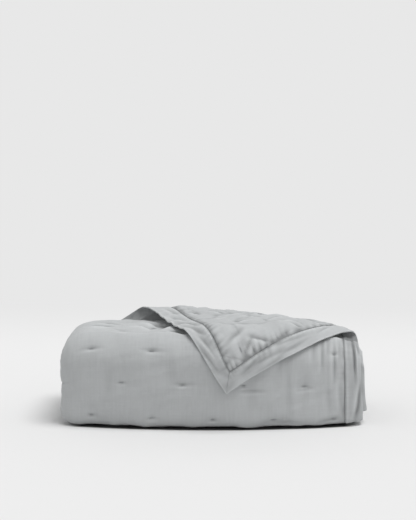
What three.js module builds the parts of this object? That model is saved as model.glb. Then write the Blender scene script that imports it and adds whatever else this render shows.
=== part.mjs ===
// A toddler quilt, folded in half across its width and then back and forth along its
// length, with the back right corner of the top leaf turned back over the front.
// Millimetres, +Z up, the front of the pile towards -Y, its open edges at +X.
import * as THREE from 'three';

// Cloth
const leafThickness = 13.6;      // filled quilt, one leaf
const leafGap = 1.2;             // between the two leaves, and between two passes of the pile
const borderWidth = 25.4;        // flat border outside the seam
const borderThickness = 2.6;
const seamGap = 0.3;             // between the field and a border strip, and at the mitres
const fieldLength = 1220;        // quilted field, along the folds
const tackPitch = 94;            // bar tacks in a row
const rowPitch = 53;             // rows of tacks, each shifted by half a pitch
const tackDepth = 4.6;           // how far a tack pulls each face in
const tackReach = { across: 17, along: 12 };
const tackSkew = 0.0155;         // the rows of tacks run a little askew to the folds
const edgeRound = 17;            // over which the field thins towards its seam
const edgeThickness = 4.4;

// Folded pile
const seamX = 202;               // seam of the outer leaf at the open end
const innerSeamX = 209;          // seam of the inner leaf, which sticks out a little more
const foldedEndX = -241;         // outside of the fold across the width
const frontY = -127;
const topRunLength = 186;        // flat part of the top pass, from its seam to the front rounding
const frontRunLength = 71;
const frontTopRadius = 46;       // outside radius of the rounding between top and front
const frontFootRadius = 30;      // outside radius of the rounding between front and floor
const frontFootCorner = 0.3;     // share of that radius left where the cloth's weight squares it
const backFoldY = 122;           // outside of the lower fold at the back
const upperFoldInset = 5;        // of the fold above it
const innerFoldInset = 32;       // of the hidden front fold behind the inside of the front wrap

// Turned corner, in the plane of the laid out outer leaf: x across, rise measured up from
// the floor along the front and on over the top
const foldStart = { x: -180, rise: 385 };    // where the diagonal fold leaves the short edge
const foldEnd = { x: 224, rise: 161 };       // where it leaves the long edge
const cornerTip = { x: 20, rise: 58 };       // where the corner lands on the front
const rollRadius = { start: 17, middle: 10.5, end: 7.9 };
const rollShoulder = { by: 8, over: 210 };   // the roll stands higher where it starts
const restDistance = 150;        // behind which the turned cloth has come down onto the leaf
const restClearance = 0.8;       // between it and the leaf, beyond the gap
const edgeBow = 16;              // of the short edge of the turned corner
const bowWidth = 220;            // over which the bow fades into the corner
const borderDroop = 4;           // of the border of the turned corner towards the leaf

// How the ends of the pile sink and round off: over which length, and by how much
const ends = {
  foldedTop: { from: -189, over: -54, by: 46 },
  foldedFoot: { from: -217, over: -26, by: 19 },
  foldedPlan: { from: -201, over: -44, by: 22 },
  openSag: { from: 0, over: 250, by: 13 },
  openTop: { from: 208, over: 40, by: 22 },
  openFoot: { from: 212, over: 36, by: 18 },
  openPlan: { from: 208, over: 40, by: 16 },
};
const backSag = { from: 5, over: 130, by: 9 };   // of the pile towards its back, in y
const frontBow = 34;             // how far the ends of the front lie behind its middle
// How the free borders hang: over which width, by how much, and the height over which it starts
const openDroop = { from: 201, over: 38, by: 5, low: 0, high: 40 };      // at the open end
const backDroop = { from: 105, over: 25.4, by: 5, low: 90, high: 130 };  // behind the top pass
const footFlare = { from: 190, over: 36, by: 6, height: 140 };  // of the open end, most at the floor

const stack = 2 * leafThickness + leafGap;
const layer = stack + leafGap;
const pileHeight = 5 * layer - leafGap;
const leafMiddle = (leafThickness + leafGap) / 2;
const foldRadius = layer / 2;
const quarter = Math.PI / 2;
const pileBack = backFoldY - foldRadius - stack / 2;
const insideFrontY = frontY + stack + innerFoldInset;

// The section of the pile: straight runs and turns, from the seam at the back of the top
// pass over the front and under the pile, and then back and forth inside it.
const runToFloorFold = pileBack - (frontY + frontFootRadius);
const innerRun = pileBack - (insideFrontY + foldRadius);
const sectionTable = [
  { run: topRunLength },
  { turn: quarter, radius: frontTopRadius - stack / 2 },
  { run: frontRunLength },
  { turn: quarter, radius: frontFootRadius - stack / 2, corner: frontFootCorner },
  { run: runToFloorFold },
  { turn: 2 * quarter, radius: foldRadius },
  { run: innerRun },
  { turn: -2 * quarter, radius: foldRadius },
  { run: innerRun - upperFoldInset },
  { turn: 2 * quarter, radius: foldRadius },
  { run: 0 },
];

// Length of outer cloth that a row of the table takes up.
function clothLength({ run, turn, radius }) {
  if (turn === undefined) return run;
  return turn > 0 ? turn * (radius + stack / 2) : -turn * radius;
}

function walkSection(table) {
  const usedLength = table.reduce((sum, row) => sum + clothLength(row), 0);
  table[table.length - 1].run = fieldLength - usedLength;
  const state = {
    y: frontY + frontTopRadius + topRunLength,
    z: pileHeight - stack / 2,
    heading: Math.PI,
    v: 0,
  };
  return table.map((row) => {
    const piece = { ...row, ...state, length: clothLength(row) };
    const end = alongPiece(piece, piece.length);
    Object.assign(state, { y: end.y, z: end.z, heading: end.heading, v: state.v + piece.length });
    return piece;
  });
}

// Point and heading on one row of the section, s along its cloth.
function alongPiece(piece, s) {
  const { y, z, heading, turn, radius, length } = piece;
  if (turn === undefined) {
    return { y: y + s * Math.cos(heading), z: z + s * Math.sin(heading), heading };
  }
  const side = Math.sign(turn);
  const turned = heading + (turn * s) / length;
  return {
    y: y + side * radius * (Math.sin(turned) - Math.sin(heading)),
    z: z - side * radius * (Math.cos(turned) - Math.cos(heading)),
    heading: turned,
  };
}

const section = walkSection(sectionTable);
const seamRise = frontFootRadius + frontRunLength + quarter * frontTopRadius + topRunLength;

// Middle line of the folded stack at v along the cloth, moved out by height.
function onSection(v, height) {
  const last = section.length - 1;
  const index = section.findIndex((piece, i) => i === last || v < piece.v + piece.length);
  const piece = section[index];
  if (piece.corner) return squaredTurn(piece, (v - piece.v) / piece.length, height);
  const { y, z, heading } = alongPiece(piece, v - piece.v);
  return { y: y + height * Math.sin(heading), z: z - height * Math.cos(heading) };
}

// A quarter turn squared off: its layers run straight on, turn late in a tight corner and
// run straight again. t goes from 0 to 1 along it.
function squaredTurn({ y, z, heading, radius, corner }, t, height) {
  const straight = 1 - corner;
  const gone = t * (2 * straight + quarter * corner);
  const a = clamp((gone - straight) / corner, 0, quarter);
  const late = Math.max(gone - straight - quarter * corner, 0);
  const out = (radius + height) * (straight + corner * Math.cos(a) - late) - radius;
  const onward = (radius + height) * (Math.min(gone, straight) + corner * Math.sin(a));
  return {
    y: y + out * Math.sin(heading) + onward * Math.cos(heading),
    z: z - out * Math.cos(heading) + onward * Math.sin(heading),
  };
}

const clamp = (value, low, high) => Math.min(high, Math.max(low, value));
const mix = (a, b, t) => a + (b - a) * t;
const smooth = (t) => t * t * (3 - 2 * t);

// Quarter round: nothing up to 'from', then down by 'by' over the signed length 'over'.
function rounded({ from, over, by }, x) {
  const t = clamp((x - from) / over, 0, 1);
  return by * (1 - Math.sqrt(1 - t * t));
}

// How far a border hangs at a distance and a height.
function hang({ from, over, by, low, high }, distance, z) {
  return by * clamp((distance - from) / over, 0, 1) ** 2 * smooth(clamp((z - low) / (high - low), 0, 1));
}

// The pile sinks at both ends and at its back, its front bows out in the middle, and its
// free borders hang a little.
function settle({ x, y, z }) {
  const drop = rounded(ends.foldedTop, x) + rounded(ends.openSag, x) + rounded(ends.openTop, x)
    + backSag.by * smooth(clamp((y - backSag.from) / backSag.over, 0, 1));
  const lift = rounded(ends.foldedFoot, x) + rounded(ends.openFoot, x);
  const behind = frontBow * (x / foldedEndX) ** 2
    + rounded(ends.foldedPlan, x) + rounded(ends.openPlan, x);
  const towardsFront = clamp(0.5 - y / (backFoldY - frontY), 0, 1);
  const flare = footFlare.by * smooth(clamp((x - footFlare.from) / footFlare.over, 0, 1))
    * smooth(clamp(1 - z / footFlare.height, 0, 1));
  const hanging = hang(openDroop, x, z) + hang(backDroop, y, z);
  return new THREE.Vector3(
    x + flare,
    y + behind * towardsFront,
    lift + (z - hanging) * (pileHeight - drop - lift) / pileHeight,
  );
}

// Directions of the diagonal fold: along it towards the long edge, and across it outwards.
const foldLength = Math.hypot(foldEnd.x - foldStart.x, foldEnd.rise - foldStart.rise);
const along = {
  x: (foldEnd.x - foldStart.x) / foldLength,
  rise: (foldEnd.rise - foldStart.rise) / foldLength,
};
const outward = { x: -along.rise, rise: along.x };

// Place along the diagonal fold and distance beyond it.
function fromFold(x, rise) {
  const dx = x - foldStart.x;
  const dr = rise - foldStart.rise;
  return { s: dx * along.x + dr * along.rise, d: dx * outward.x + dr * outward.rise };
}

function rollAt(s) {
  const t = clamp(s / foldLength, 0, 1);
  const firstHalf = mix(rollRadius.start, rollRadius.middle, t * 2);
  const secondHalf = mix(rollRadius.middle, rollRadius.end, smooth(clamp(t * 2 - 1, 0, 1)));
  return t < 0.5 ? firstHalf : secondHalf;
}

// Which way the cloth runs on from the roll, so that the corner lands on its tip.
const corner = fromFold(seamX + borderWidth, seamRise + borderWidth);
const pastRoll = corner.d - Math.PI * rollAt(corner.s);
const landing = {
  x: (foldStart.x + corner.s * along.x - cornerTip.x) / pastRoll,
  rise: (foldStart.rise + corner.s * along.rise - cornerTip.rise) / pastRoll,
};

// The outer leaf with its corner turned back: x, rise and height above the leaf's middle.
function turnCorner(x, rise, w) {
  const { s, d } = fromFold(x, rise);
  if (d <= 0) return { x, rise, height: w };
  const r = rollAt(s);
  const foot = { x: foldStart.x + s * along.x, rise: foldStart.rise + s * along.rise };
  if (d < Math.PI * r) {
    const a = d / r;
    const reach = (r - w) * Math.sin(a);
    const shoulder = rollShoulder.by * smooth(clamp(1 - s / rollShoulder.over, 0, 1));
    return {
      x: foot.x + reach * outward.x,
      rise: foot.rise + reach * outward.rise,
      height: r - (r - w) * Math.cos(a) + shoulder * Math.sin(a) ** 2,
    };
  }
  const back = d - Math.PI * r;
  const settled = smooth(clamp(back / restDistance, 0, 1));
  const overEdge = clamp((rise - seamRise) / borderWidth, 0, 1);
  const overSide = clamp((x - seamX) / borderWidth, 0, 1);
  const nearEnd = clamp(1 - (seamRise + borderWidth - rise) / bowWidth, 0, 1);
  const towardsTip = clamp(back / pastRoll, 0, 1);
  const bow = edgeBow * smooth(nearEnd) * 4 * towardsTip * (1 - towardsTip);
  const rest = leafThickness + leafGap + restClearance;
  const droop = borderDroop * Math.max(overEdge, overSide) * settled;
  return {
    x: foot.x - back * landing.x - bow,
    rise: foot.rise - back * landing.rise,
    height: mix(2 * r, rest, settled) - droop - w,
  };
}

const turnX = foldedEndX + leafMiddle + leafThickness / 2;
const outerLeafEnd = seamX - turnX;
const endTurn = Math.PI * leafMiddle;

// A point of the laid out quilt, u across from the outer seam, v along from the top seam
// and w out of its middle towards the face, brought to its place in the pile.
function place(u, v, w) {
  if (u <= outerLeafEnd) {
    const turned = turnCorner(seamX - u, seamRise - v, w);
    const point = onSection(seamRise - turned.rise, leafMiddle + turned.height);
    return settle({ x: turned.x, ...point });
  }
  const past = u - outerLeafEnd;
  if (past < endTurn) {
    const a = past / leafMiddle;
    const point = onSection(v, (leafMiddle + w) * Math.cos(a));
    return settle({ x: turnX - (leafMiddle + w) * Math.sin(a), ...point });
  }
  return settle({ x: turnX + past - endTurn, ...onSection(v, -leafMiddle - w) });
}

const fieldWidth = outerLeafEnd + endTurn + innerSeamX - turnX;
const floorPass = section[4];
const firstTack = { u: 203.2, v: seamRise - 17.3 };

// How far a tack pulls the cloth in at a point of the laid out quilt.
function tackPull(u, v) {
  const rowZero = firstTack.v + tackSkew * (firstTack.u - u);
  const row = Math.round((rowZero - v) / rowPitch);
  let pull = 0;
  for (const near of [row - 1, row, row + 1]) {
    const shift = Math.abs(near % 2) * tackPitch / 2;
    const du = u - firstTack.u - shift;
    const across = (du - Math.round(du / tackPitch) * tackPitch) / tackReach.across;
    const down = (v - rowZero + near * rowPitch) / tackReach.along;
    pull = Math.max(pull, Math.exp(-across * across - down * down));
  }
  return tackDepth * pull;
}

// Half the thickness of the field: full, drawn in at the tacks and thin at the seam.
function halfThickness(u, v) {
  const toEdge = Math.min(u, v, fieldWidth - u, fieldLength - v);
  const t = clamp(toEdge / edgeRound, 0, 1);
  const crown = Math.sqrt(1 - (1 - t) ** 2);
  const onFloor = v > floorPass.v && v < floorPass.v + floorPass.length;
  const full = leafThickness / 2 - (onFloor ? 0 : tackPull(u, v));
  return Math.max(mix(edgeThickness / 2, full, crown), edgeThickness / 2);
}

const sameValue = 1e-6;

// Spread values from a to b, at most 'step' apart, ends included.
function spread(a, b, step) {
  const count = Math.max(1, Math.ceil((b - a) / step - sameValue));
  return Array.from({ length: count + 1 }, (_, i) => a + ((b - a) * i) / count);
}

function unique(values) {
  const sorted = [...values].sort((a, b) => a - b);
  return sorted.filter((value, i) => i === 0 || value - sorted[i - 1] > sameValue);
}

// Columns of points across the quilt: fine where the folded end rounds off.
const endZone = 46;
const columnStep = { shown: tackPitch / 6, hidden: tackPitch / 2, end: 11 };
function columns(step) {
  return unique([
    ...spread(0, outerLeafEnd - endZone, step),
    ...spread(outerLeafEnd - endZone, outerLeafEnd, columnStep.end),
    ...spread(outerLeafEnd, outerLeafEnd + endTurn, endTurn / 4),
    ...spread(outerLeafEnd + endTurn, outerLeafEnd + endTurn + endZone, columnStep.end),
    ...spread(outerLeafEnd + endTurn + endZone, fieldWidth, columnStep.hidden),
  ]);
}

// Rows of points along the quilt: fine over the top and front, and round each turn.
const rowStep = { shown: rowPitch / 3, hidden: 60, turn: Math.PI / 6, squaredTurn: Math.PI / 10 };
const shownLength = section[4].v;
const rollTurnSteps = 6;         // over the half turn of the diagonal roll
const rollMargin = 7;            // beside the roll, without points of the plain grid
const rollStep = 17;             // along the roll
const rollOverrun = 60;          // of its lines of points past both ends of the fold
const rollInset = 6;             // of those lines from the seams
const seamReach = 1.5;           // how many half turns from the fold the seams keep close points
const nudge = (i) => 0.03 * Math.sin(13 * i);   // keeps four points off one circle
const rows = unique(section.flatMap((piece) => {
  const end = piece.v + piece.length;
  if (piece.v < shownLength && piece.turn === undefined) return spread(piece.v, end, rowStep.shown);
  const angle = piece.corner ? rowStep.squaredTurn : rowStep.turn;
  const turnStep = piece.length / Math.ceil(Math.abs(piece.turn ?? 0) / angle || 1);
  return spread(piece.v, end, piece.turn === undefined ? rowStep.hidden : turnStep);
}));

// Points of the laid out quilt. Near the diagonal fold they follow lines along the fold.
function sheetPoints() {
  const points = [];
  const inRoll = (u, v, past) => {
    const { s, d } = fromFold(seamX - u, seamRise - v);
    return u < outerLeafEnd && d > -rollMargin && d < Math.PI * rollAt(s) * past + rollMargin;
  };
  rows.forEach((v) => {
    const shown = v <= shownLength;
    columns(shown ? columnStep.shown : columnStep.hidden).forEach((u) => {
      const atEdge = u === 0 || v === 0 || u === fieldWidth || v === fieldLength;
      if (inRoll(u, v, atEdge ? seamReach : 1)) return;
      const i = points.length;
      points.push(atEdge ? [u, v] : [u + nudge(i), v + nudge(i + 0.5)]);
    });
  });
  const beyond = (s, turned) => Math.PI * rollAt(s) * turned;
  spread(0, 1, 1 / rollTurnSteps).forEach((turned) => {
    spread(-rollOverrun, foldLength + rollOverrun, rollStep).forEach((s) => {
      const u = seamX - (foldStart.x + s * along.x + beyond(s, turned) * outward.x);
      const v = seamRise - (foldStart.rise + s * along.rise + beyond(s, turned) * outward.rise);
      if (u > rollInset && v > rollInset && u < outerLeafEnd) points.push([u + nudge(s), v]);
    });
  });
  // Where those lines meet the two seams, with one more between each two of them.
  const slope = along.rise / along.x;
  spread(0, seamReach, 0.5 / rollTurnSteps).forEach((turned) => {
    const atStart = beyond(0, turned) / outward.x;
    const startX = foldStart.x + atStart + (seamRise - foldStart.rise) / slope;
    const atEnd = beyond(foldLength, turned) / outward.rise;
    const endRise = foldEnd.rise + atEnd + (seamX - foldEnd.x) * slope;
    points.push([seamX - startX, 0], [0, seamRise - endRise]);
  });
  return points;
}

// Delaunay triangles of points in a plane, by putting the points in one after another.
function triangulate(points) {
  const far = 1e5;
  const all = [...points, [-far, -far], [far * 3, -far], [-far, far * 3]];
  const first = points.length;
  const circle = (a, b, c) => {
    const [ax, ay] = all[a];
    const bx = all[b][0] - ax;
    const by = all[b][1] - ay;
    const cx = all[c][0] - ax;
    const cy = all[c][1] - ay;
    const twice = 2 * (bx * cy - by * cx);
    const ux = (cy * (bx * bx + by * by) - by * (cx * cx + cy * cy)) / twice;
    const uy = (bx * (cx * cx + cy * cy) - cx * (bx * bx + by * by)) / twice;
    return { a, b, c, x: ax + ux, y: ay + uy, r2: ux * ux + uy * uy };
  };
  let triangles = [circle(first, first + 1, first + 2)];
  points.forEach(([x, y], index) => {
    const hit = ({ x: cx, y: cy, r2 }) => (x - cx) ** 2 + (y - cy) ** 2 < r2;
    const rim = new Map();
    triangles.filter(hit).forEach(({ a, b, c }) => {
      [[a, b], [b, c], [c, a]].forEach(([from, to]) => {
        if (!rim.delete(`${to}-${from}`)) rim.set(`${from}-${to}`, [from, to]);
      });
    });
    triangles = triangles.filter((triangle) => !hit(triangle));
    rim.forEach(([from, to]) => triangles.push(circle(from, to, index)));
  });
  const inside = ({ a, b, c }) => Math.max(a, b, c) < first;
  return triangles.filter(inside).map(({ a, b, c }) => [a, b, c]);
}

// Two walls that face each other across a seam are split along the same diagonals.
const farther = (point, other) => point[0] + point[1] > other[0] + other[1];

// A closed solid from a triangulated sheet: its face, its reverse and a wall round its rim.
function solidFromSheet(points, triangles, half) {
  const count = points.length;
  const positions = [1, -1].flatMap((side) => points.flatMap(([u, v]) => (
    place(u, v, side * half(u, v)).toArray())));
  const edges = new Map();
  triangles.forEach(([a, b, c]) => [[a, b], [b, c], [c, a]].forEach(([from, to]) => {
    if (!edges.delete(`${to}-${from}`)) edges.set(`${from}-${to}`, [from, to]);
  }));
  const index = [
    ...triangles.flatMap(([a, b, c]) => [a, b, c]),
    ...triangles.flatMap(([a, b, c]) => [a + count, c + count, b + count]),
    ...[...edges.values()].flatMap(([from, to]) => (
      farther(points[to], points[from])
        ? [from, from + count, to + count, from, to + count, to]
        : [from, from + count, to, to, from + count, to + count])),
  ];
  const geometry = new THREE.BufferGeometry();
  geometry.setAttribute('position', new THREE.Float32BufferAttribute(positions, 3));
  geometry.setIndex(index);
  geometry.computeVertexNormals();
  return geometry;
}

// A border strip: a grid of the laid out quilt between its inner and its outer edge.
function borderStrip(inner, outer, steps) {
  const points = [];
  const acrossSteps = 2;
  steps.forEach((t) => {
    for (let j = 0; j <= acrossSteps; j += 1) {
      const a = inner(t);
      const b = outer(t);
      points.push([mix(a[0], b[0], j / acrossSteps), mix(a[1], b[1], j / acrossSteps)]);
    }
  });
  const triangles = [];
  for (let i = 0; i + 1 < steps.length; i += 1) {
    for (let j = 0; j < acrossSteps; j += 1) {
      const a = i * (acrossSteps + 1) + j;
      const b = a + acrossSteps + 1;
      triangles.push([a, b + 1, a + 1], [a, b, b + 1]);
    }
  }
  return solidFromSheet(points, triangles, () => borderThickness / 2);
}

const fabric = (color) => new THREE.MeshStandardMaterial({ color, roughness: 0.85, metalness: 0 });
const materials = { quilt: fabric('#a6a9aa'), border: fabric('#aeb1b2') };

function namedMesh(name, geometry, material) {
  const mesh = new THREE.Mesh(geometry, material);
  mesh.name = name;
  return mesh;
}

// The field's points, and where they lie along each of its four seams.
const fieldPoints = sheetPoints();
const fromOtherEnd = (values, length) => values.map((value) => length - value);
function alongSeam(at, value) {
  return fieldPoints.filter((point) => point[at] === value).map((point) => point[1 - at]);
}

function quiltedField() {
  const geometry = solidFromSheet(fieldPoints, triangulate(fieldPoints), halfThickness);
  return namedMesh('quilted_field', geometry, materials.quilt);
}

// A strip along one side of the field, with its points where the seam has them. 'at' turns
// a place along the side and a distance outside it into a point of the laid out quilt.
function sideStrip(name, length, seamValues, at) {
  const steps = unique(seamValues).map((value) => value / length);
  const mitred = (t, out) => at(mix(-out + seamGap, length + out - seamGap, t), out);
  const strip = borderStrip((t) => mitred(t, seamGap), (t) => mitred(t, borderWidth), steps);
  return namedMesh(name, strip, materials.border);
}

const outerSeam = alongSeam(0, 0);
const topSeam = fromOtherEnd(alongSeam(1, 0), fieldWidth);
const innerSeam = fromOtherEnd(alongSeam(0, fieldWidth), fieldLength);
const hiddenSeam = alongSeam(1, fieldLength);

const quilt = new THREE.Group();
quilt.add(
  quiltedField(),
  sideStrip('border_outer_side', fieldLength, outerSeam, (s, out) => [-out, s]),
  sideStrip('border_top_end', fieldWidth, topSeam, (s, out) => [fieldWidth - s, -out]),
  sideStrip('border_inner_side', fieldLength, innerSeam, (s, out) => [fieldWidth + out, fieldLength - s]),
  sideStrip('border_inner_end', fieldWidth, hiddenSeam, (s, out) => [s, fieldLength + out]),
);

// The frame: the middle of the pile's box in x and y, and the floor.
const box = new THREE.Box3().setFromObject(quilt);
quilt.position.set(-(box.min.x + box.max.x) / 2, -(box.min.y + box.max.y) / 2, -box.min.z);

export default quilt;
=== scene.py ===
# Toddler quilt, folded into a pile, with one corner of its top leaf turned back.
# The cloth is worked out in millimetres as a laid out quilt, u across it, v along it and w
# out of its face, and every point is then carried through the folds to its place in the pile.
import math

import bpy
import numpy as np
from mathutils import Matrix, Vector


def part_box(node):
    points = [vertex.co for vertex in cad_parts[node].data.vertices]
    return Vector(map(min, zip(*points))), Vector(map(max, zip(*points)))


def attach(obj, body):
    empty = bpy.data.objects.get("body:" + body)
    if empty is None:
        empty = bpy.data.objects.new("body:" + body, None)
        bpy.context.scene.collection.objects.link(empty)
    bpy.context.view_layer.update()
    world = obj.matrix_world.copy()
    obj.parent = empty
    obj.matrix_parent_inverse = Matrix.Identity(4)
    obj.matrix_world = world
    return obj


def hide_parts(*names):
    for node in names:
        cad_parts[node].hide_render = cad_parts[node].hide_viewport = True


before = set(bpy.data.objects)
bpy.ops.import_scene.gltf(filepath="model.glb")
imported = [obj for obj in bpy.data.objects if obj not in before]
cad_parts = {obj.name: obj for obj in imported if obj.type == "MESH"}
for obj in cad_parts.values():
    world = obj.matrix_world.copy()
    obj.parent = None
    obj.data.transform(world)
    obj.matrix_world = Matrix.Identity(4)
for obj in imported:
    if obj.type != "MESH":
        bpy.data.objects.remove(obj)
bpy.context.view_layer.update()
mm = 0.001

shot = dict(lens=100, place=(-8.0, -2299, 500), tilt=6.19)  # mm and degrees


def addCamera(s):
    # Level from side to side, tilted down by so many degrees.
    data = bpy.data.cameras.new("camera")
    data.lens = s["lens"]
    camera = bpy.data.objects.new("camera", data)
    camera.location = Vector(s["place"]) * mm
    camera.rotation_euler = (math.radians(90 - s["tilt"]), 0, 0)
    bpy.context.scene.collection.objects.link(camera)
    bpy.context.scene.camera = camera


addCamera(shot)
print("camera placed")

# The laid out quilt: its leaves, borders and length.
cloth = dict(
    leaf=13.6, gap=1.2, border=25.4, borderThick=2.6, seamGap=0.3,
    length=1220, edgeRound=17, edgeThick=4.4, edgeLeast=0.6,
)
# The rows of tacks run a little askew to the folds: level with the sheet's edge at skewU.
tack = dict(
    pitch=94, rows=53, u=203.2, rise=19.5, skew=0.0155, skewU=343, depth=1.4, across=16, along=12,
)

# The folded pile: x along it, y from front to back, with its radii and runs.
pile = dict(
    seamX=202, innerSeamX=209, foldedEndX=-241, frontY=-127, topRun=186, frontRun=71,
    frontTopRadius=46, frontFootRadius=30, frontFootCorner=0.3, backFoldY=122, upperFoldInset=5,
    innerFoldInset=32, frontBow=34,
    backSag=(5, 130, 9),  # from y, over, by
    footFlare=(190, 36, 6, 140),  # from x, over, by, up to z
    # How the free borders hang: from where, over which width, by how much, between heights.
    openDroop=(201, 38, 5, 0, 40), backDroop=(105, 25.4, 5, 90, 130),
)
# How the ends sink and round off: from where, over which length, by how much.
ends = dict(
    foldedTop=(-189, -54, 46), foldedFoot=(-217, -26, 19), foldedPlan=(-201, -44, 22),
    openSag=(0, 250, 13), openTop=(208, 40, 22), openFoot=(212, 36, 18), openPlan=(208, 40, 16),
)
# The turned corner: where the diagonal fold starts and ends, and where the tip lands.
turned = dict(
    start=(-180, 385), end=(224, 161), tip=(20, 58), rollStart=17, rollMiddle=10.5, rollEnd=7.9,
    shoulder=8, shoulderOver=210, rest=150, clear=0.8, bow=16, bowWidth=220, droop=4,
)

stackThick = 2 * cloth["leaf"] + cloth["gap"]
layerThick = stackThick + cloth["gap"]
pileHeight = 5 * layerThick - cloth["gap"]
leafMiddle = (cloth["leaf"] + cloth["gap"]) / 2
foldRadius = layerThick / 2
turnX = pile["foldedEndX"] + leafMiddle + cloth["leaf"] / 2
outerLeafEnd = pile["seamX"] - turnX
endTurn = math.pi * leafMiddle
fieldWidth = outerLeafEnd + endTurn + pile["innerSeamX"] - turnX
quarter = math.pi / 2
# Places on the outer leaf are also given by x and rise, which is seamRise less v: up the front
# from its foot, and on over the top.
seamRise = (pile["frontFootRadius"] + pile["frontRun"]
            + quarter * pile["frontTopRadius"] + pile["topRun"])


def smooth(t):
    # From 0 to 1 with soft ends: 3 t squared less 2 t cubed.
    t = np.clip(t, 0, 1)
    return t * t * (3 - 2 * t)


def walkSection():
    # Straight runs and turns from the back of the top pass, over the front and under the
    # pile, then back and forth inside: each row is a run, or a turn with the radius of its
    # middle. It gives v, y, z and heading where each one starts, its turn, radius and length.
    half = stackThick / 2
    back = pile["backFoldY"] - foldRadius - half
    floorRun = back - (pile["frontY"] + pile["frontFootRadius"])
    innerRun = back - (pile["frontY"] + stackThick + pile["innerFoldInset"] + foldRadius)
    rows = [
        (pile["topRun"], 0, 0), (0, quarter, pile["frontTopRadius"] - half),
        (pile["frontRun"], 0, 0), (0, quarter, pile["frontFootRadius"] - half),
        (floorRun, 0, 0), (0, math.pi, foldRadius), (innerRun, 0, 0),
        (0, -math.pi, foldRadius), (innerRun - pile["upperFoldInset"], 0, 0),
        (0, math.pi, foldRadius), (0, 0, 0),
    ]
    lengths = [run if turn == 0 else abs(turn) * (radius + (half if turn > 0 else 0))
               for run, turn, radius in rows]
    lengths[-1] = cloth["length"] - sum(lengths)
    v, y, z = 0, pile["frontY"] + pile["frontTopRadius"] + pile["topRun"], pileHeight - half
    heading = math.pi
    table = []
    for (run, turn, radius), length in zip(rows, lengths):
        table.append((v, y, z, heading, turn, radius, length))
        if turn == 0:
            y += length * math.cos(heading)
            z += length * math.sin(heading)
        else:
            side = math.copysign(1, turn)
            y += side * radius * (math.sin(heading + turn) - math.sin(heading))
            z -= side * radius * (math.cos(heading + turn) - math.cos(heading))
            heading += turn
        v += length
    return np.array(table).T


section = walkSection()
footRow = 3  # the turn at the foot of the front
floorStart, floorEnd = section[0][footRow + 1], section[0][footRow + 2]


def squaredTurn(t, y0, z0, radius, height):
    # The turn at the foot of the front, squared off by the weight of the cloth: straight
    # down, a tight corner, and straight along the floor, t from 0 to 1.
    corner = pile["frontFootCorner"]
    straight = 1 - corner
    gone = t * (2 * straight + quarter * corner)
    a = np.clip((gone - straight) / corner, 0, quarter)
    late = np.maximum(gone - straight - quarter * corner, 0)
    out = (radius + height) * (straight + corner * np.cos(a) - late) - radius
    onward = (radius + height) * (np.minimum(gone, straight) + corner * np.sin(a))
    return y0 - out, z0 - onward


def onSection(v, height):
    # Middle line of the folded stack at v, moved out along its normal by height.
    row = np.clip(np.searchsorted(section[0], v, side="right") - 1, 0, section.shape[1] - 1)
    start, y0, z0, heading, turn, radius, length = section[:, row]
    s = v - start
    now = heading + turn * s / length
    straight, bent = turn == 0, np.sign(turn) * radius
    y = y0 + np.where(straight, s * np.cos(heading), bent * (np.sin(now) - np.sin(heading)))
    z = z0 + np.where(straight, s * np.sin(heading), bent * (np.cos(heading) - np.cos(now)))
    y, z = y + height * np.sin(now), z - height * np.cos(now)
    squaredY, squaredZ = squaredTurn(s / length, y0, z0, radius, height)
    return np.where(row == footRow, squaredY, y), np.where(row == footRow, squaredZ, z)


def rounded(spec, x):
    # A quarter round: nothing up to 'start', then down by 'by' over the signed length 'over'.
    start, over, by = spec
    t = np.clip((x - start) / over, 0, 1)
    return by * (1 - np.sqrt(1 - t * t))


def hang(spec, distance, z):
    # How far a free border hangs: the square of its share past 'start', times 'by', coming in
    # between two heights.
    start, over, by, low, high = spec
    return by * np.clip((distance - start) / over, 0, 1) ** 2 * smooth((z - low) / (high - low))


def settle(x, y, z):
    # Both ends of the pile sink, its back sags, and its front bows out in the middle.
    start, over, by = pile["backSag"]
    drop = rounded(ends["foldedTop"], x) + rounded(ends["openSag"], x) + rounded(ends["openTop"], x)
    drop = drop + by * smooth((y - start) / over)
    lift = rounded(ends["foldedFoot"], x) + rounded(ends["openFoot"], x)
    behind = (pile["frontBow"] * (x / pile["foldedEndX"]) ** 2
              + rounded(ends["foldedPlan"], x) + rounded(ends["openPlan"], x))
    towardsFront = np.clip(0.5 - y / (pile["backFoldY"] - pile["frontY"]), 0, 1)
    start, over, by, height = pile["footFlare"]
    flare = by * smooth((x - start) / over) * smooth(1 - z / height)
    hanging = hang(pile["openDroop"], x, z) + hang(pile["backDroop"], y, z)
    z = lift + (z - hanging) * (pileHeight - drop - lift) / pileHeight
    return x + flare, y + behind * towardsFront, z


foldStart, foldEnd, cornerTip = (np.array(turned[key], float) for key in ("start", "end", "tip"))
foldLength = np.linalg.norm(foldEnd - foldStart)
along = (foldEnd - foldStart) / foldLength
outward = np.array([-along[1], along[0]])


def fromFold(x, rise):
    # Place along the diagonal fold, and distance beyond it.
    dx, dr = x - foldStart[0], rise - foldStart[1]
    return dx * along[0] + dr * along[1], dx * outward[0] + dr * outward[1]


def rollAt(s):
    # Radius of the roll along its fold: evenly down to the middle, then softly to the end.
    t = np.clip(s / foldLength, 0, 1)
    first = turned["rollStart"] + (turned["rollMiddle"] - turned["rollStart"]) * t * 2
    second = turned["rollMiddle"] + (turned["rollEnd"] - turned["rollMiddle"]) * smooth(t * 2 - 1)
    return np.where(t < 0.5, first, second)


cornerS, cornerD = fromFold(pile["seamX"] + cloth["border"], seamRise + cloth["border"])
pastRoll = cornerD - math.pi * rollAt(cornerS)
# How far x and rise go back for each millimetre past the roll, so that the tip lands right.
landing = (foldStart + cornerS * along - cornerTip) / pastRoll


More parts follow.
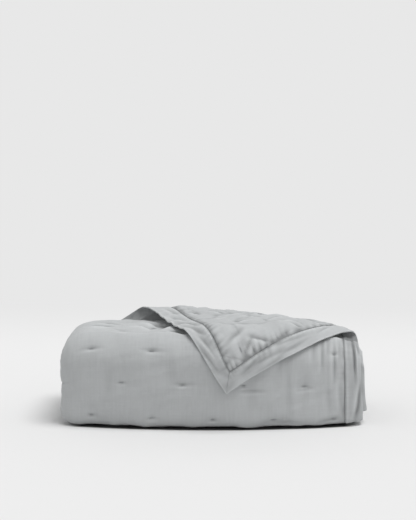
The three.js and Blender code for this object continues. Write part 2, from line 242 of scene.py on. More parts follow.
def turnCorner(x, rise, w):
    # Flat up to the diagonal fold, then half a turn round the roll, and from there flat
    # again over the leaf, slowly coming down on it, with its reverse upwards.
    s, d = fromFold(x, rise)
    r = rollAt(s)
    footX, footRise = foldStart[0] + s * along[0], foldStart[1] + s * along[1]
    a = np.clip(d / r, 0, math.pi)
    reach = (r - w) * np.sin(a)
    back = np.maximum(d - math.pi * r, 0)
    settled = smooth(back / turned["rest"])
    border = cloth["border"]
    over = np.clip(np.maximum(rise - seamRise, x - pile["seamX"]) / border, 0, 1)
    nearEnd = smooth(1 - (seamRise + border - rise) / turned["bowWidth"])
    towardsTip = np.clip(back / pastRoll, 0, 1)
    bow = turned["bow"] * nearEnd * 4 * towardsTip * (1 - towardsTip)
    restHeight = cloth["leaf"] + cloth["gap"] + turned["clear"]
    layHeight = 2 * r + (restHeight - 2 * r) * settled - turned["droop"] * over * settled - w
    shoulder = turned["shoulder"] * smooth(1 - s / turned["shoulderOver"]) * np.sin(a) ** 2
    flat, laid = d <= 0, d >= math.pi * r
    newX = np.where(laid, footX - back * landing[0] - bow, footX + reach * outward[0])
    newRise = np.where(laid, footRise - back * landing[1], footRise + reach * outward[1])
    height = np.where(laid, layHeight, r - (r - w) * np.cos(a) + shoulder)
    newX, newRise = np.where(flat, x, newX), np.where(flat, rise, newRise)
    return newX, newRise, np.where(flat, w, height), a / math.pi


def placeCloth(u, v, w):
    # u, v, w of the laid out quilt to x, y, z of the pile: the corner is turned first, then
    # the fold across the width, then the folds along the length, then the settling.
    outer = u <= outerLeafEnd
    past = u - outerLeafEnd
    x1, rise, height, _ = turnCorner(pile["seamX"] - u, seamRise - v, w)
    a = np.clip(past / leafMiddle, 0, math.pi)
    x2 = turnX - (leafMiddle + w) * np.sin(a) + np.maximum(past - endTurn, 0)
    x = np.where(outer, x1, x2)
    out = np.where(outer, leafMiddle + height, (leafMiddle + w) * np.cos(a))
    y, z = onSection(np.where(outer, seamRise - rise, v), out)
    return settle(x, y, z)


# Where the frame has the pile: its box is centred, so its folded end and back edge give
# the shift.
topEndY = pile["frontY"] + pile["frontTopRadius"] + pile["topRun"] + cloth["border"]
shift = np.array([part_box("quilted_field")[0][0] / mm - pile["foldedEndX"],
                  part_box("border_top_end")[1][1] / mm - topEndY, 0])
print("shift of the pile in the frame, mm:", shift.round(2))


# Each part of the cloth's relief gives three values: height in millimetres, and painted shade
# and painted highlight, 0 to 1, which darken the cloth in its hollows and pale it on its ridges.
def softWaves(a, b, wave, seed, count=9):
    # Sum of sine waves of like length in random directions, about -1 to 1.
    draw = np.random.default_rng(seed)
    total = 0
    for _ in range(count):
        angle, phase = draw.uniform(0, 2 * math.pi, 2)
        length = wave * draw.uniform(0.7, 1.5)
        across = a * math.cos(angle) + b * math.sin(angle)
        total = total + np.sin(2 * math.pi * across / length + phase)
    return total / math.sqrt(count)


def tackOffset(u, v):
    # Distance across and along from the nearest tack of the staggered rows.
    rowValue = (v - (seamRise - tack["rise"]) - tack["skew"] * (tack["skewU"] - u)) / tack["rows"]
    found = []
    for step in (-1, 0, 1):
        row = np.round(rowValue) + step
        du = u - tack["u"] - np.abs(row % 2) * tack["pitch"] / 2
        du = du - np.round(du / tack["pitch"]) * tack["pitch"]
        dv = (rowValue - row) * tack["rows"]
        found.append((du, dv, (du / tack["across"]) ** 2 + (dv / tack["along"]) ** 2))
    nearest = np.argmin([far for _, _, far in found], 0)
    return [np.choose(nearest, values) for values in zip(*found)]


pinch = dict(
    depth=2.4, across=5.0, along=2.3, rowDepth=0.5, rowAcross=15, rowAlong=2.2, below=4.0,
    belowAcross=7.0, topFrom=145, topOver=30, onTop=3.2, topDepth=1.1,
    # Painted shade in the pinch, along the row and more on top; painted highlight below the tack.
    mark=0.75, rowMark=0.2, topRowMark=0.25, pale=0.6,
)


def tackPull(u, v, side):
    # A broad dimple, a sharp pinch at the tack, and a faint crease along the row, with painted
    # shade in the pinch and the crease and a painted highlight on a line below the tack; deeper
    # and longer on the top of the pile, where the cloth lies slack.
    du, dv, far = tackOffset(u, v)
    slack = smooth((seamRise - v - pinch["topFrom"]) / pinch["topOver"]) * (side > 0)
    broad = np.exp(-far) * (1 + pinch["topDepth"] * slack)
    dv = dv / (1 + pinch["onTop"] * slack)
    sharp = np.exp(-(du / pinch["across"]) ** 2 - (dv / pinch["along"]) ** 2)
    row = np.exp(-(du / pinch["rowAcross"]) ** 2 - (dv / pinch["rowAlong"]) ** 2)
    lower = (dv - pinch["below"]) / pinch["along"]
    below = np.exp(-(du / pinch["belowAcross"]) ** 2 - lower ** 2)
    pull = tack["depth"] * broad + pinch["depth"] * sharp + pinch["rowDepth"] * row
    paintedTackShade = pinch["mark"] * sharp ** 2 + (pinch["rowMark"] + pinch["topRowMark"] * slack) * row ** 3
    return np.stack([-pull, paintedTackShade, pinch["pale"] * below])


groove = dict(past=0.15, rim=0.5, rimAway=1.9, darkAt=3.2)


def trough(a, b, crease):
    # A soft groove from one end to the other, with a lower ridge on its left, both fading to
    # nothing a little past the ends. Painted shade lies in the groove and a painted highlight on
    # the ridge, both stronger as the groove is deeper.
    a1, b1, a2, b2, width, depth = crease
    length = math.hypot(a2 - a1, b2 - b1)
    da, db = (a2 - a1) / length, (b2 - b1) / length
    s = ((a - a1) * da + (b - b1) * db) / length
    away = ((a - a1) * db - (b - b1) * da) / width
    fade = np.sin(math.pi * np.clip((s + groove["past"]) / (1 + 2 * groove["past"]), 0, 1))
    low, rim = fade * np.exp(-away ** 2), fade * np.exp(-(away - groove["rimAway"]) ** 2)
    creaseShade = min(depth / groove["darkAt"], 1)
    return np.stack([depth * (groove["rim"] * rim - low), creaseShade * low ** 1.5, creaseShade * rim])


# Creases of the front and top: x and rise of both ends, width, depth.
frontCreases = [
    (117, 16, 114, 112, 5.0, 0.7), (140, 30, 143, 96, 6.0, 0.4), (168, 142, 167, 92, 2.6, 1.7),
    (187, 142, 186, 70, 2.6, 1.9), (177, 150, 176, 118, 2.0, 1.2), (195, 148, 194, 104, 2.2, 1.3),
    (156, 146, 152, 104, 3.4, 0.9), (176, 70, 180, 24, 4.6, 0.7), (195, 78, 197, 22, 3.0, 1.0),
    (104, 120, 101, 84, 6.0, 0.6), (75, 12, 134, 13, 3.0, 1.2), (160, 13, 192, 16, 2.8, 1.0),
    (41, 62, 80, 61, 2.4, 1.5), (128, 62, 154, 65, 2.4, 1.1), (-188, 176, -120, 174, 3.6, 1.4),
    (-120, 175, -52, 175, 3.4, 1.3), (-196, 232, -160, 226, 8.0, 4.0), (-190, 262, -150, 250, 8.0, 3.0),
    (-122, 236, -90, 202, 8.0, 5.0), (-90, 202, -62, 250, 7.0, 5.0), (-106, 272, -74, 230, 7.0, 4.4),
    (-210, 124, -170, 128, 3.0, 0.8), (-112, 127, -72, 123, 2.8, 0.8), (-62, 73, -26, 72, 2.6, 0.8),
    (-68, 128, -60, 60, 9.0, 0.4), (62, 92, 58, 30, 9.0, 0.4), (-160, 110, -164, 40, 9.0, 0.4),
    (-70, 190, -48, 182, 6.0, 3.0), (-176, 196, -140, 190, 3.4, 1.6), (176, 166, 212, 160, 6.5, 5.5),
]
# Creases of the turned corner, where it lies: x and rise of both ends, width, depth.
cornerCreases = [
    (58, 268, 80, 236, 3.4, 4.0), (80, 236, 128, 226, 3.6, 3.4), (-6, 262, 18, 246, 3.4, 3.4),
    (18, 246, 58, 254, 3.4, 3.2), (52, 140, 92, 132, 2.8, 3.0), (140, 206, 160, 194, 3.0, 3.2),
    (100, 176, 130, 186, 3.6, 2.8), (30, 180, 64, 196, 4.0, 2.6), (-40, 262, -20, 238, 4.0, 2.6),
    (66, 108, 86, 118, 3.0, 2.6), (96, 136, 118, 152, 3.0, 2.6), (20, 130, 44, 152, 3.8, 2.4),
    (-6, 196, 14, 208, 3.6, 2.4), (160, 190, 182, 176, 3.0, 2.6), (110, 214, 150, 212, 3.2, 2.8),
    (44, 226, 76, 214, 3.4, 2.6), (24, 168, 52, 164, 3.2, 2.2), (84, 196, 104, 214, 3.2, 2.4),
    (46, 116, 60, 140, 3.0, 2.4), (120, 168, 140, 158, 2.8, 2.6), (2, 230, 26, 222, 3.2, 2.2),
]
# Inside the roll the cloth is crumpled, with painted shade in its valleys and painted
# highlight on its tops, and painted shade darkens it from 'shadeFrom' before the fold.
crumple = dict(
    wave=21, valley=0.16, strength=(3.2, 0.9, 0.2), onStrips=0.1, fades=8,
    shade=0.8, shadeFrom=22, shadeTo=8, shadeFades=6, frontFrom=160, frontOver=30, shadeFront=14,
)


def billow(a, b, wave, seed, valley):
    # Rounded hills, 0 at their tops, with narrow valleys of -1 between them; also painted shade
    # in the valleys and painted highlight on the hills, 0 to 1.
    waves = softWaves(a, b, wave, seed)
    height = np.minimum(np.sqrt(waves * waves + valley * valley) - valley, 1) - 1
    return np.stack([height, np.exp(-(waves / valley) ** 2), smooth((height + 0.5) * 2)])


def rollCrumple(u, v):
    # The crumpled cloth inside the roll: billows that come and go with the turn round it.
    share = turnCorner(pile["seamX"] - u, seamRise - v, np.zeros_like(u))[3]
    inside = smooth(share * crumple["fades"]) * smooth((1 - share) * crumple["fades"])
    inRoll = np.where(u <= outerLeafEnd, inside, 0)
    strength = np.array(crumple["strength"]).reshape(3, *[1] * u.ndim)
    return inRoll * strength * billow(u, v, crumple["wave"], 26, crumple["valley"])


def rollShade(u, v):
    # How dark the face is inside the roll, where less light comes: from some way before the
    # fold, further at the front end, where the roll overhangs.
    x, rise = pile["seamX"] - u, seamRise - v
    share = turnCorner(x, rise, np.zeros_like(u))[3]
    nearFront = smooth((x - crumple["frontFrom"]) / crumple["frontOver"])
    before = crumple["shadeFrom"] + crumple["shadeFront"] * nearFront
    inside = smooth((fromFold(x, rise)[1] + before) / (before + crumple["shadeTo"]))
    inside = inside * smooth((1 - share) * crumple["shadeFades"])
    return crumple["shade"] * inside * (u <= outerLeafEnd)


# Soft lumps all over, and the puffs of the reverse, which show on the turned corner.
lump = dict(wave=46, height=0.8, fineWave=16, fineHeight=0.25)
puff = dict(
    wave=74, height=3.0, fineWave=28, fineHeight=0.8, valley=0.09, lift=1.8, squeeze=1.25,
    dark=0.4, fineDark=0.1, pale=0.15,
)


def relief(u, v, side):
    # What stands out of (or sinks into) one side of the field besides its tacks: lumps, and
    # on the face the front's creases and the roll, on the reverse puffs and its own creases.
    landedX, landedRise, _, share = turnCorner(pile["seamX"] - u, seamRise - v, np.zeros_like(u))
    lumps = lump["height"] * (softWaves(u, v, lump["wave"], 3 + side) - 1)
    lumps = lumps + lump["fineHeight"] * softWaves(u, v, lump["fineWave"], 8 + side)
    total = np.stack([lumps, 0 * lumps, 0 * lumps])
    if side > 0:
        # The flat part of the face, and the inside of the roll with its painted shade.
        creases, where = frontCreases, (u <= outerLeafEnd) & (share < 0.02)
        total = total + rollCrumple(u, v)
        total[1] = total[1] + rollShade(u, v)
    else:
        creases, where = cornerCreases, (u <= outerLeafEnd) & (share > 0.98)
        broad = billow(u, v * puff["squeeze"], puff["wave"], 21, puff["valley"])
        fine = billow(u, v, puff["fineWave"], 22, puff["valley"])
        # Puffs, with painted shade in their valleys and painted highlight on their tops.
        raised = [puff["height"] * broad[0] + puff["fineHeight"] * fine[0] + puff["lift"],
                  puff["dark"] * broad[1] + puff["fineDark"] * fine[1], puff["pale"] * broad[2]]
        total = total + np.where(where, np.stack(raised), 0)
    return total + np.where(where, sum(trough(landedX, landedRise, crease) for crease in creases), 0)


# Puckers at the seams, weaker where the leaf hangs down the front from 'start' on.
pucker = dict(
    wave=9.5, inside=3.5, outside=2.2, reach=15, tick=8, soft=1.1, dark=1.2, pale=0.5,
    uneven=1.7, unevenWave=50, mean=0.75, varies=0.5, variesWave=38, most=1.25,
    sideLeast=0.75, endLeast=0.2, endShare=0.6, stripLeast=0.3,
)
calmFront = dict(start=160, over=50, left=0.1)


def seamPucker(distance, alongSeam, height, seed, least):
    # Short uneven ripples square to a seam that die away from it: the sine's absolute value,
    # its phase and strength wandering along the seam, never weaker than 'least'.
    phase = pucker["uneven"] * softWaves(alongSeam, alongSeam * 0, pucker["unevenWave"], seed)
    varied = softWaves(alongSeam, alongSeam * 0, pucker["variesWave"], seed + 1)
    strength = np.clip(pucker["mean"] + pucker["varies"] * varied, least, pucker["most"])
    ripple = np.abs(np.sin(math.pi * alongSeam / pucker["wave"] + phase)) ** pucker["soft"]
    near = strength * np.exp(-(distance / pucker["reach"]) ** 2)
    close = strength * np.exp(-(distance / pucker["tick"]) ** 2)
    # Painted shade in the ripples' valleys close to the seam, painted highlight on their crests.
    dark = pucker["dark"] * close * (1 - ripple) ** 1.3
    return np.stack([height * near * (ripple - 1), dark, pucker["pale"] * near * ripple ** 3])


def onFrontShare(v):
    # The seam pulls less where the leaf hangs straight down the front.
    return 1 - (1 - calmFront["left"]) * smooth((v - calmFront["start"]) / calmFront["over"])


tuck = dict(rise=3, reach=11, depth=3.6, wave=60, uneven=1.2, shade=0.5, shadeTo=34)


def footTuck(u, v, side):
    # How far the cloth tucks in where the front meets the floor, and the painted shade it gets there.
    rise = seamRise - v
    uneven = tuck["depth"] + tuck["uneven"] * softWaves(u, u * 0, tuck["wave"], 81)
    inwards = uneven * np.exp(-((rise - tuck["rise"]) / tuck["reach"]) ** 2)
    dark = tuck["shade"] * smooth((tuck["shadeTo"] - rise) / tuck["shadeTo"]) ** 2
    shown = (side > 0) & (u <= outerLeafEnd)
    return inwards * shown, dark * shown


# Painted shade in the ditch beside a seam, on the field and on the strips.
ditch = dict(field=3.0, strip=1.6, dark=0.75, wave=30, mean=0.75, uneven=0.35)


def fieldHalf(u, v, side):
    # Half the thickness on one side: full and soft inside, plain on the floor, drawn in at
    # tacks, thin at the seam with a quarter round to it; with its painted shade and painted highlight.
    toEdge = np.minimum(np.minimum(u, fieldWidth - u), np.minimum(v, cloth["length"] - v))
    crown = np.sqrt(1 - (1 - np.clip(toEdge / cloth["edgeRound"], 0, 1)) ** 2)
    onFloor = (v > floorStart) & (v < floorEnd) & (side > 0)
    atEnd = seamPucker(v, u, pucker["inside"], 33, pucker["endLeast"]) * pucker["endShare"]
    atSide = seamPucker(u, v, pucker["inside"], 31, pucker["sideLeast"]) * onFrontShare(v)
    soft = relief(u, v, side) + tackPull(u, v, side) + atEnd + atSide
    full = cloth["leaf"] / 2 + np.where(onFloor, 0, soft[0])
    inwards, dark = footTuck(u, v, side)
    full, soft[1] = full - inwards, soft[1] + dark
    thin = cloth["edgeThick"] / 2
    least = thin * (cloth["edgeLeast"] + (1 - cloth["edgeLeast"]) * crown)
    half = np.maximum(thin + (full - thin) * crown, least)
    uneven = ditch["mean"] + ditch["uneven"] * softWaves(u, v, ditch["wave"], 36)
    ditchShade = ditch["dark"] * uneven * np.exp(-(toEdge / ditch["field"]) ** 2)
    return half, np.clip(soft[1] + ditchShade, 0, 1), np.clip(soft[2] - ditchShade, 0, 1)


def gridQuads(rows, columns):
    # The quads between the points of a grid, which are counted row by row.
    i, j = np.meshgrid(np.arange(rows - 1), np.arange(columns - 1), indexing="ij")
    a = (i * columns + j).ravel()
    return np.stack([a, a + columns, a + columns + 1, a + 1], 1)


def rimOf(rows, columns):
    # Grid points once round the rim, the way the face's quads turn.
    index = np.arange(rows * columns).reshape(rows, columns)
    return np.concatenate([index[:-1, 0], index[-1, :-1], index[:0:-1, -1], index[0, :0:-1]])


def addMesh(name, points, quads, uv, material, marks=None, sharp=50):
    # A smooth mesh of quads, sharp past so many degrees, with each mark as a point attribute.
    mesh = bpy.data.meshes.new(name)
    mesh.from_pydata(points.tolist(), [], quads.tolist())
    for key, values in (marks or {}).items():
        layer = mesh.attributes.new(key, "FLOAT", "POINT")
        layer.data.foreach_set("value", np.ascontiguousarray(values, np.float32))
    layer = mesh.uv_layers.new(name="clothUv")
    loops = np.empty(len(mesh.loops), int)
    mesh.loops.foreach_get("vertex_index", loops)
    layer.data.foreach_set("uv", uv[loops].astype(np.float32).ravel())
    mesh.materials.append(material)
    mesh.shade_smooth()
    mesh.set_sharp_from_angle(angle=math.radians(sharp))
    mesh.update()
    piece = bpy.data.objects.new(name, mesh)
    bpy.context.scene.collection.objects.link(piece)
    print(f"{name}: {2 * len(quads)} triangles")
    return piece


def sheetSolid(name, gridU, gridV, halfFace, halfBack, material, marks):
    # A closed sheet: its face and reverse over one grid of the laid out quilt, and a wall.
    rows, columns = gridU.shape
    u, v = gridU.ravel(), gridV.ravel()
    sides = [np.stack(placeCloth(u, v, w), 1) for w in (halfFace.ravel(), -halfBack.ravel())]
    points = (np.concatenate(sides) + shift) * mm
    face = gridQuads(rows, columns)
    count = rows * columns
    rim = rimOf(rows, columns)
    following = np.roll(rim, -1)
    wall = np.stack([following, rim, rim + count, following + count], 1)
    quads = np.concatenate([face, face[:, ::-1] + count, wall])
    uv = np.tile(np.stack([u, v], 1) * mm, (2, 1))
    return addMesh(name, points, quads, uv, material, marks)


def stops(*parts):
    # Values through the given stretches: (from, to, step) each, ends shared.
    values = [np.linspace(a, b, max(2, math.ceil((b - a) / step) + 1)) for a, b, step in parts]
    joined = np.concatenate(values)
    return joined[np.concatenate([[True], np.diff(joined) > 1e-6])]


def node(tree, kind, x, y, inputs=None, **settings):
    # One shader node at x, y: an input gets a link where a socket is given, else a value.
    made = tree.nodes.new(kind)
    made.location = (x, y)
    for key, value in settings.items():
        setattr(made, key, value)
    for key, value in (inputs or {}).items():
        if isinstance(value, bpy.types.NodeSocket):
            tree.links.new(value, made.inputs[key])
        else:
            made.inputs[key].default_value = value
    return made


def ramp(tree, x, y, value, low, high, lowResult, highResult, **settings):
    # Straight from one result to the other while the value goes from low to high.
    made = node(tree, "ShaderNodeMapRange", x, y, {
        "Value": value, "From Min": low, "From Max": high, "To Min": lowResult, "To Max": highResult,
    }, **settings)
    return made.outputs[0]


def darken(tree, x, color, value, light, dark, strength):
    # Multiplies a colour by 1 where the value is at light, by 1 - strength at dark.
    factor = ramp(tree, x, 700, value, light, dark, 1, 1 - strength)
    made = node(tree, "ShaderNodeMix", x + 150, 500, {"Factor": 1, "A": color, "B": factor},
                data_type="RGBA", blend_type="MULTIPLY")
    return made.outputs["Result"]


def noise(tree, x, y, where, scale, **inputs):
    # Soft noise in three directions, about 0.5.
    made = node(tree, "ShaderNodeTexNoise", x, y, {"Vector": where, "Scale": scale, **inputs})
    return made.outputs["Fac"]


def drawnNoise(tree, x, y, where, scale, detail):
    # Noise drawn out along the threads: its scale differs across and along.
    drawn = node(tree, "ShaderNodeMapping", x - 200, y, {"Vector": where, "Scale": (*scale, 1)})
    return noise(tree, x, y, drawn.outputs[0], 1, Detail=detail)


# Depths and the thread are in metres, scales are for each metre.
weave = dict(
    thread=0.0008, wobble=0.6, depth=0.00006, slub=(45, 900), slubDepth=0.00025,
    crinkle=75, crinkleDepth=0.0009, bump=0.6, cloud=9, cloudRange=(0.35, 0.65),
    streaks=(((330, 26), 0.06), ((26, 330), 0.035)), streakRange=(0.75, 0.25),
    # The painted shade and painted highlight darken and pale the colour by these shares at most.
    paintedShadeStrength=0.48, paintedHighlightStrength=0.2, roughness=0.9, specular=0.2, sheen=0.12, sheenRoughness=0.5,
)


def clothNormal(tree, uv, where):
    # Threads both ways, slubs along them and soft crinkles, one bump on another.
    threads, slubs = [], []  # a band of the wave texture is 0.314 over its scale wide
    for direction, y, scale in (("X", 300, weave["slub"][::-1]), ("Y", 0, weave["slub"])):
        bands = node(tree, "ShaderNodeTexWave", -800, y, {
            "Vector": uv, "Scale": 0.314 / weave["thread"], "Distortion": weave["wobble"], "Detail": 1,
        }, wave_type="BANDS", bands_direction=direction)
        threads.append((bands.outputs["Fac"], weave["depth"]))
        slubs.append((drawnNoise(tree, -800, y - 600, uv, scale, 2), weave["slubDepth"]))
    crinkle = noise(tree, -800, -1000, where, weave["crinkle"], Detail=5, Roughness=0.6)
    normal = None
    for i, (height, depth) in enumerate([*threads, *slubs, (crinkle, weave["crinkleDepth"])]):
        below = {} if normal is None else {"Normal": normal}
        bump = node(tree, "ShaderNodeBump", -200 + 120 * i, -400, {
            "Height": height, "Distance": depth, "Strength": weave["bump"], **below,
        })
        normal = bump.outputs[0]
    return normal


def clothColor(tree, uv, where, color, shade):
    # A cloudy mix of the colour and a dimmer tone of it, with faint streaks both ways from
    # thicker threads; then painted shade and painted highlight where the cloth carries them.
    clouds = noise(tree, -800, -1300, where, weave["cloud"], Detail=3)
    made = node(tree, "ShaderNodeMix", 200, 300, {
        "Factor": ramp(tree, -100, 300, clouds, *weave["cloudRange"], 0, 1),
        "A": (*[c * shade for c in color], 1), "B": (*color, 1),
    }, data_type="RGBA")
    tone = made.outputs["Result"]
    for i, (scale, strength) in enumerate(weave["streaks"]):
        streak = drawnNoise(tree, -400, 700 + 300 * i, uv, scale, 3)
        tone = darken(tree, 300 + 200 * i, tone, streak, *weave["streakRange"], strength)
    paintedShade = node(tree, "ShaderNodeAttribute", -200, 1400, attribute_name="paintedShade").outputs["Fac"]
    ridge = node(tree, "ShaderNodeAttribute", -200, 1700, attribute_name="ridge").outputs["Fac"]
    tone = darken(tree, 700, tone, paintedShade, 0, 1, weave["paintedShadeStrength"])
    return darken(tree, 900, tone, ridge, 0, 1, -weave["paintedHighlightStrength"])


def washedCloth(name, color, shade):
    # Plain woven cotton, washed: matt, with a little sheen.
    material = bpy.data.materials.new(name)
    material.use_nodes = True
    tree = material.node_tree
    tree.nodes.clear()
    uv = node(tree, "ShaderNodeUVMap", -1200, 0, uv_map="clothUv").outputs[0]
    where = node(tree, "ShaderNodeTexCoord", -1200, -500).outputs["Object"]
    shader = node(tree, "ShaderNodeBsdfPrincipled", 1200, 0, {
        "Base Color": clothColor(tree, uv, where, color, shade),
        "Normal": clothNormal(tree, uv, where),
        "Roughness": weave["roughness"], "Specular IOR Level": weave["specular"],
        "Sheen Weight": weave["sheen"], "Sheen Roughness": weave["sheenRoughness"],
    })
    node(tree, "ShaderNodeOutputMaterial", 1500, 0, {"Surface": shader.outputs[0]})
    return material


# The cloths: colour, and how dark its cloudy parts get.
quiltCloth = washedCloth("quilt_cloth", (0.520, 0.535, 0.541), 0.95)
borderCloth = washedCloth("border_cloth", (0.525, 0.540, 0.546), 0.96)
# The thread is the cloth's colour, darkened as painted shade for the tacks in their pinches and the
# stitches by the seams.
shadedThreadCloth = washedCloth("tack_thread_shaded", (0.36, 0.37, 0.38), 0.9)
print("materials made")

# Line spacing of the field: fine where it shows, then from line to line of the hidden parts.
fieldGrid = dict(
    fine=2.2, cornerTo=246, across=3.8, front=2.6, frontFrom=235, fold=3.7, beside=60, besideStep=7.5,
    hidden=18, floor=14, backTurn=6.5, innerTurn=4, lastRun=16, edge=18, edgeStep=4.5, endEdgeStep=5,
)


def addField(g):
    # Close lines where the turned corner and the front show, wide ones inside the pile.
    foldEndU, edge = outerLeafEnd + endTurn, g["edge"]
    us = stops(
        (0, g["cornerTo"], g["fine"]), (g["cornerTo"], outerLeafEnd, g["across"]),
        (outerLeafEnd, foldEndU, g["fold"]), (foldEndU, foldEndU + g["beside"], g["besideStep"]),
        (foldEndU + g["beside"], fieldWidth - edge, g["hidden"]),
        (fieldWidth - edge, fieldWidth, g["edgeStep"]),
    )
    starts, length = section[0], cloth["length"]  # from 5 on they are the hidden turns and runs
    vs = stops(
        (0, g["frontFrom"], g["fine"]), (g["frontFrom"], floorStart, g["front"]),
        (floorStart, starts[5], g["floor"]), (starts[5], starts[6], g["backTurn"]),
        (starts[6], starts[7], g["hidden"]), (starts[7], starts[8], g["innerTurn"]),
        (starts[8], starts[9], g["hidden"]), (starts[9], starts[10], g["backTurn"]),
        (starts[10], length - edge, g["lastRun"]), (length - edge, length, g["endEdgeStep"]),
    )
    gridU, gridV = np.meshgrid(us, vs, indexing="ij")
    face, back = fieldHalf(gridU, gridV, 1), fieldHalf(gridU, gridV, -1)
    # The painted shade and painted highlight of both sides, as point attributes.
    marks = {key: np.concatenate([face[i].ravel(), back[i].ravel()])
             for i, key in ((1, "paintedShade"), (2, "ridge"))}
    field = sheetSolid("quilt_field", gridU, gridV, face[0], back[0], quiltCloth, marks)
    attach(field, "root")
    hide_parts("quilted_field")
    return field


field = addField(fieldGrid)

strip = dict(
    step=2.2, hiddenStep=7, across=1.7, corner=40,
    press=0.35, pressOver=2.2, ridge=1.1, ridgeAt=3.4, ridgeOver=2.2, puckerFrom=12, puckerOver=13,
    ripple=1.3, rippleWave=30, rippleOver=5, slant=(0.9, 1.3), rippleFront=0.4,
    rollCalm=0.85, rollAt=35, rollOver=60, crumpleOver=6, wander=0.7, wanderWave=55,
    rollOff=2.2, rollOffFrom=7, rollOffOver=18,
    # Painted highlight over the seam, on the rim and on ripple crests; painted shade in ripple hollows
    # and where the strip hangs down the front.
    seamPale=0.6, rimPale=0.9, rimWidth=1.6, rippleDark=0.16, ripplePale=0.3, frontDark=0.16,
)
# Folds of the two strips that show: for both ends the place along the strip and the distance
# outside the seam, then width and depth. The top end's are counted from the turned corner.
sideFolds = [
    (52, 1, 118, 10, 2.4, 1.5), (96, 18, 22, 8, 2.6, 1.1), (66, 20, 112, 15, 2.0, 1.0),
    (12, 14, 46, 5, 2.4, 1.2), (150, 3, 124, 13, 2.4, 1.2), (36, 22, 70, 23, 2.2, 0.8),
    (280, 16, 196, 14.5, 2.0, 3.8), (284, 25, 354, 13, 2.6, 3.2), (236, 24, 212, 21, 1.8, 1.4),
    (214, 8, 256, 6, 2.6, 0.7), (201, 1, 197, 25, 5.0, 3.2),
]
topEndFolds = [
    (24, 9, 70, 16, 2.8, 2.0), (60, 7, 104, 21, 2.8, 2.2), (92, 5, 130, 19, 2.6, 2.4),
    (122, 8, 170, 17, 2.8, 2.2), (10, 16, 40, 21, 2.4, 1.4), (168, 6, 236, 11, 3.0, 1.8),
]
# Each seam: its strip and body, its length, the way from a place beside it to the laid out
# quilt, its direction there, a seed, how much it is gathered, and the folds of its strip.
seams = [
    dict(name="outer_side_strip", body="border_outer_side", length=cloth["length"],
         at=lambda s, q: (-q, s), run=(0, 1), seed=41, gather=1, folds=sideFolds),
    dict(name="top_end_strip", body="border_top_end", length=fieldWidth,
         at=lambda s, q: (fieldWidth - s, -q), run=(-1, 0), seed=51, gather=0.3,
         folds=[(fieldWidth - a, b, fieldWidth - c, *rest) for a, b, c, *rest in topEndFolds]),
    dict(name="inner_side_strip", body="border_inner_side", length=cloth["length"],
         at=lambda s, q: (fieldWidth + q, cloth["length"] - s), run=(0, -1), seed=61, gather=0.6,
         folds=[]),
    dict(name="inner_end_strip", body="border_inner_end", length=fieldWidth,
         at=lambda s, q: (s, cloth["length"] + q), run=(1, 0), seed=71, gather=0.6, folds=[]),
]


def stripShape(away, s, u, v, seam):
    # Half the thickness of a doubled strip, and how far its middle lies off flat, with the
    # painted shade and painted highlight of its face and its reverse: pressed thin at the outer
    # edge, a low ridge where the seam allowance lies inside, puckered at the seam, rippled
    # across, and hanging at the turned corner.
    seed, border, out = seam["seed"], cloth["border"], away - cloth["seamGap"]
    overSeam = np.exp(-((away - strip["ridgeAt"]) / strip["ridgeOver"]) ** 2)
    pressed = np.exp(-((border - away) / strip["pressOver"]) ** 2)
    half = cloth["borderThick"] / 2 - strip["press"] * pressed + strip["ridge"] * overSeam
    onCorner = turnCorner(pile["seamX"] - u, seamRise - v, u * 0)[3] * (u <= outerLeafEnd)
    pastFold = fromFold(pile["seamX"] - u, seamRise - v)[1]
    atRoll = 1 - strip["rollCalm"] * np.exp(-((pastFold - strip["rollAt"]) / strip["rollOver"]) ** 2)
    calm = np.where(v > calmFront["start"], strip["rippleFront"], atRoll)
    puckers = seamPucker(away, s, pucker["outside"], seed, pucker["stripLeast"]) * atRoll
    puckers = puckers * seam["gather"] * onFrontShare(v)
    puckers = puckers * (1 - smooth((away - strip["puckerFrom"]) / strip["puckerOver"]))
    slantAlong, slantOut = strip["slant"]
    waves = softWaves(s + away * slantAlong, away * slantOut, strip["rippleWave"], seed + 7)
    waves = waves * smooth(out / strip["rippleOver"]) * calm
    crumpled = rollCrumple(u, v)
    middle = puckers[0] + strip["ripple"] * waves
    middle = middle + crumple["onStrips"] * crumpled[0] * smooth(out / strip["crumpleOver"])
    hangs = smooth((away - strip["rollOffFrom"]) / strip["rollOffOver"]) * smooth(onCorner * 2 - 1)
    middle = middle + strip["rollOff"] * hangs
    # Painted shade in the puckers and in the ditch by the seam.
    paintedShade = puckers[1] + ditch["dark"] * np.exp(-(out / ditch["strip"]) ** 2)
    # Painted highlight on the puckers, on the low ridge over the seam and along the pressed rim.
    ridge = puckers[2] + strip["seamPale"] * overSeam
    ridge = ridge + strip["rimPale"] * np.exp(-((border - away) / strip["rimWidth"]) ** 2)
    # Ripples and folds get painted shade on their sunken side and painted highlight on their
    # raised side, on whichever side of the strip is up.
    facing = np.where(onCorner > 0.5, -1, 1)
    paintedShade = paintedShade + strip["rippleDark"] * np.clip(-facing * waves, 0, 1)
    # Painted shade where the strip hangs down the front, turned away from the light.
    paintedShade = paintedShade + strip["frontDark"] * smooth((v - calmFront["start"]) / calmFront["over"])
    ridge = ridge + strip["ripplePale"] * np.clip(facing * waves, 0, 1)
    for fold in seam["folds"]:
        shape = trough(s, away, fold)
        middle, paintedShade, ridge = middle + facing * shape[0], paintedShade + shape[1], ridge + shape[2]
    # The face also gets the crumples' painted shade and the painted shade inside the roll.
    faceShade = paintedShade + crumpled[1] + rollShade(u, v)
    return half, middle, np.clip([faceShade, paintedShade], 0, 1), np.clip([ridge, ridge], 0, 1)


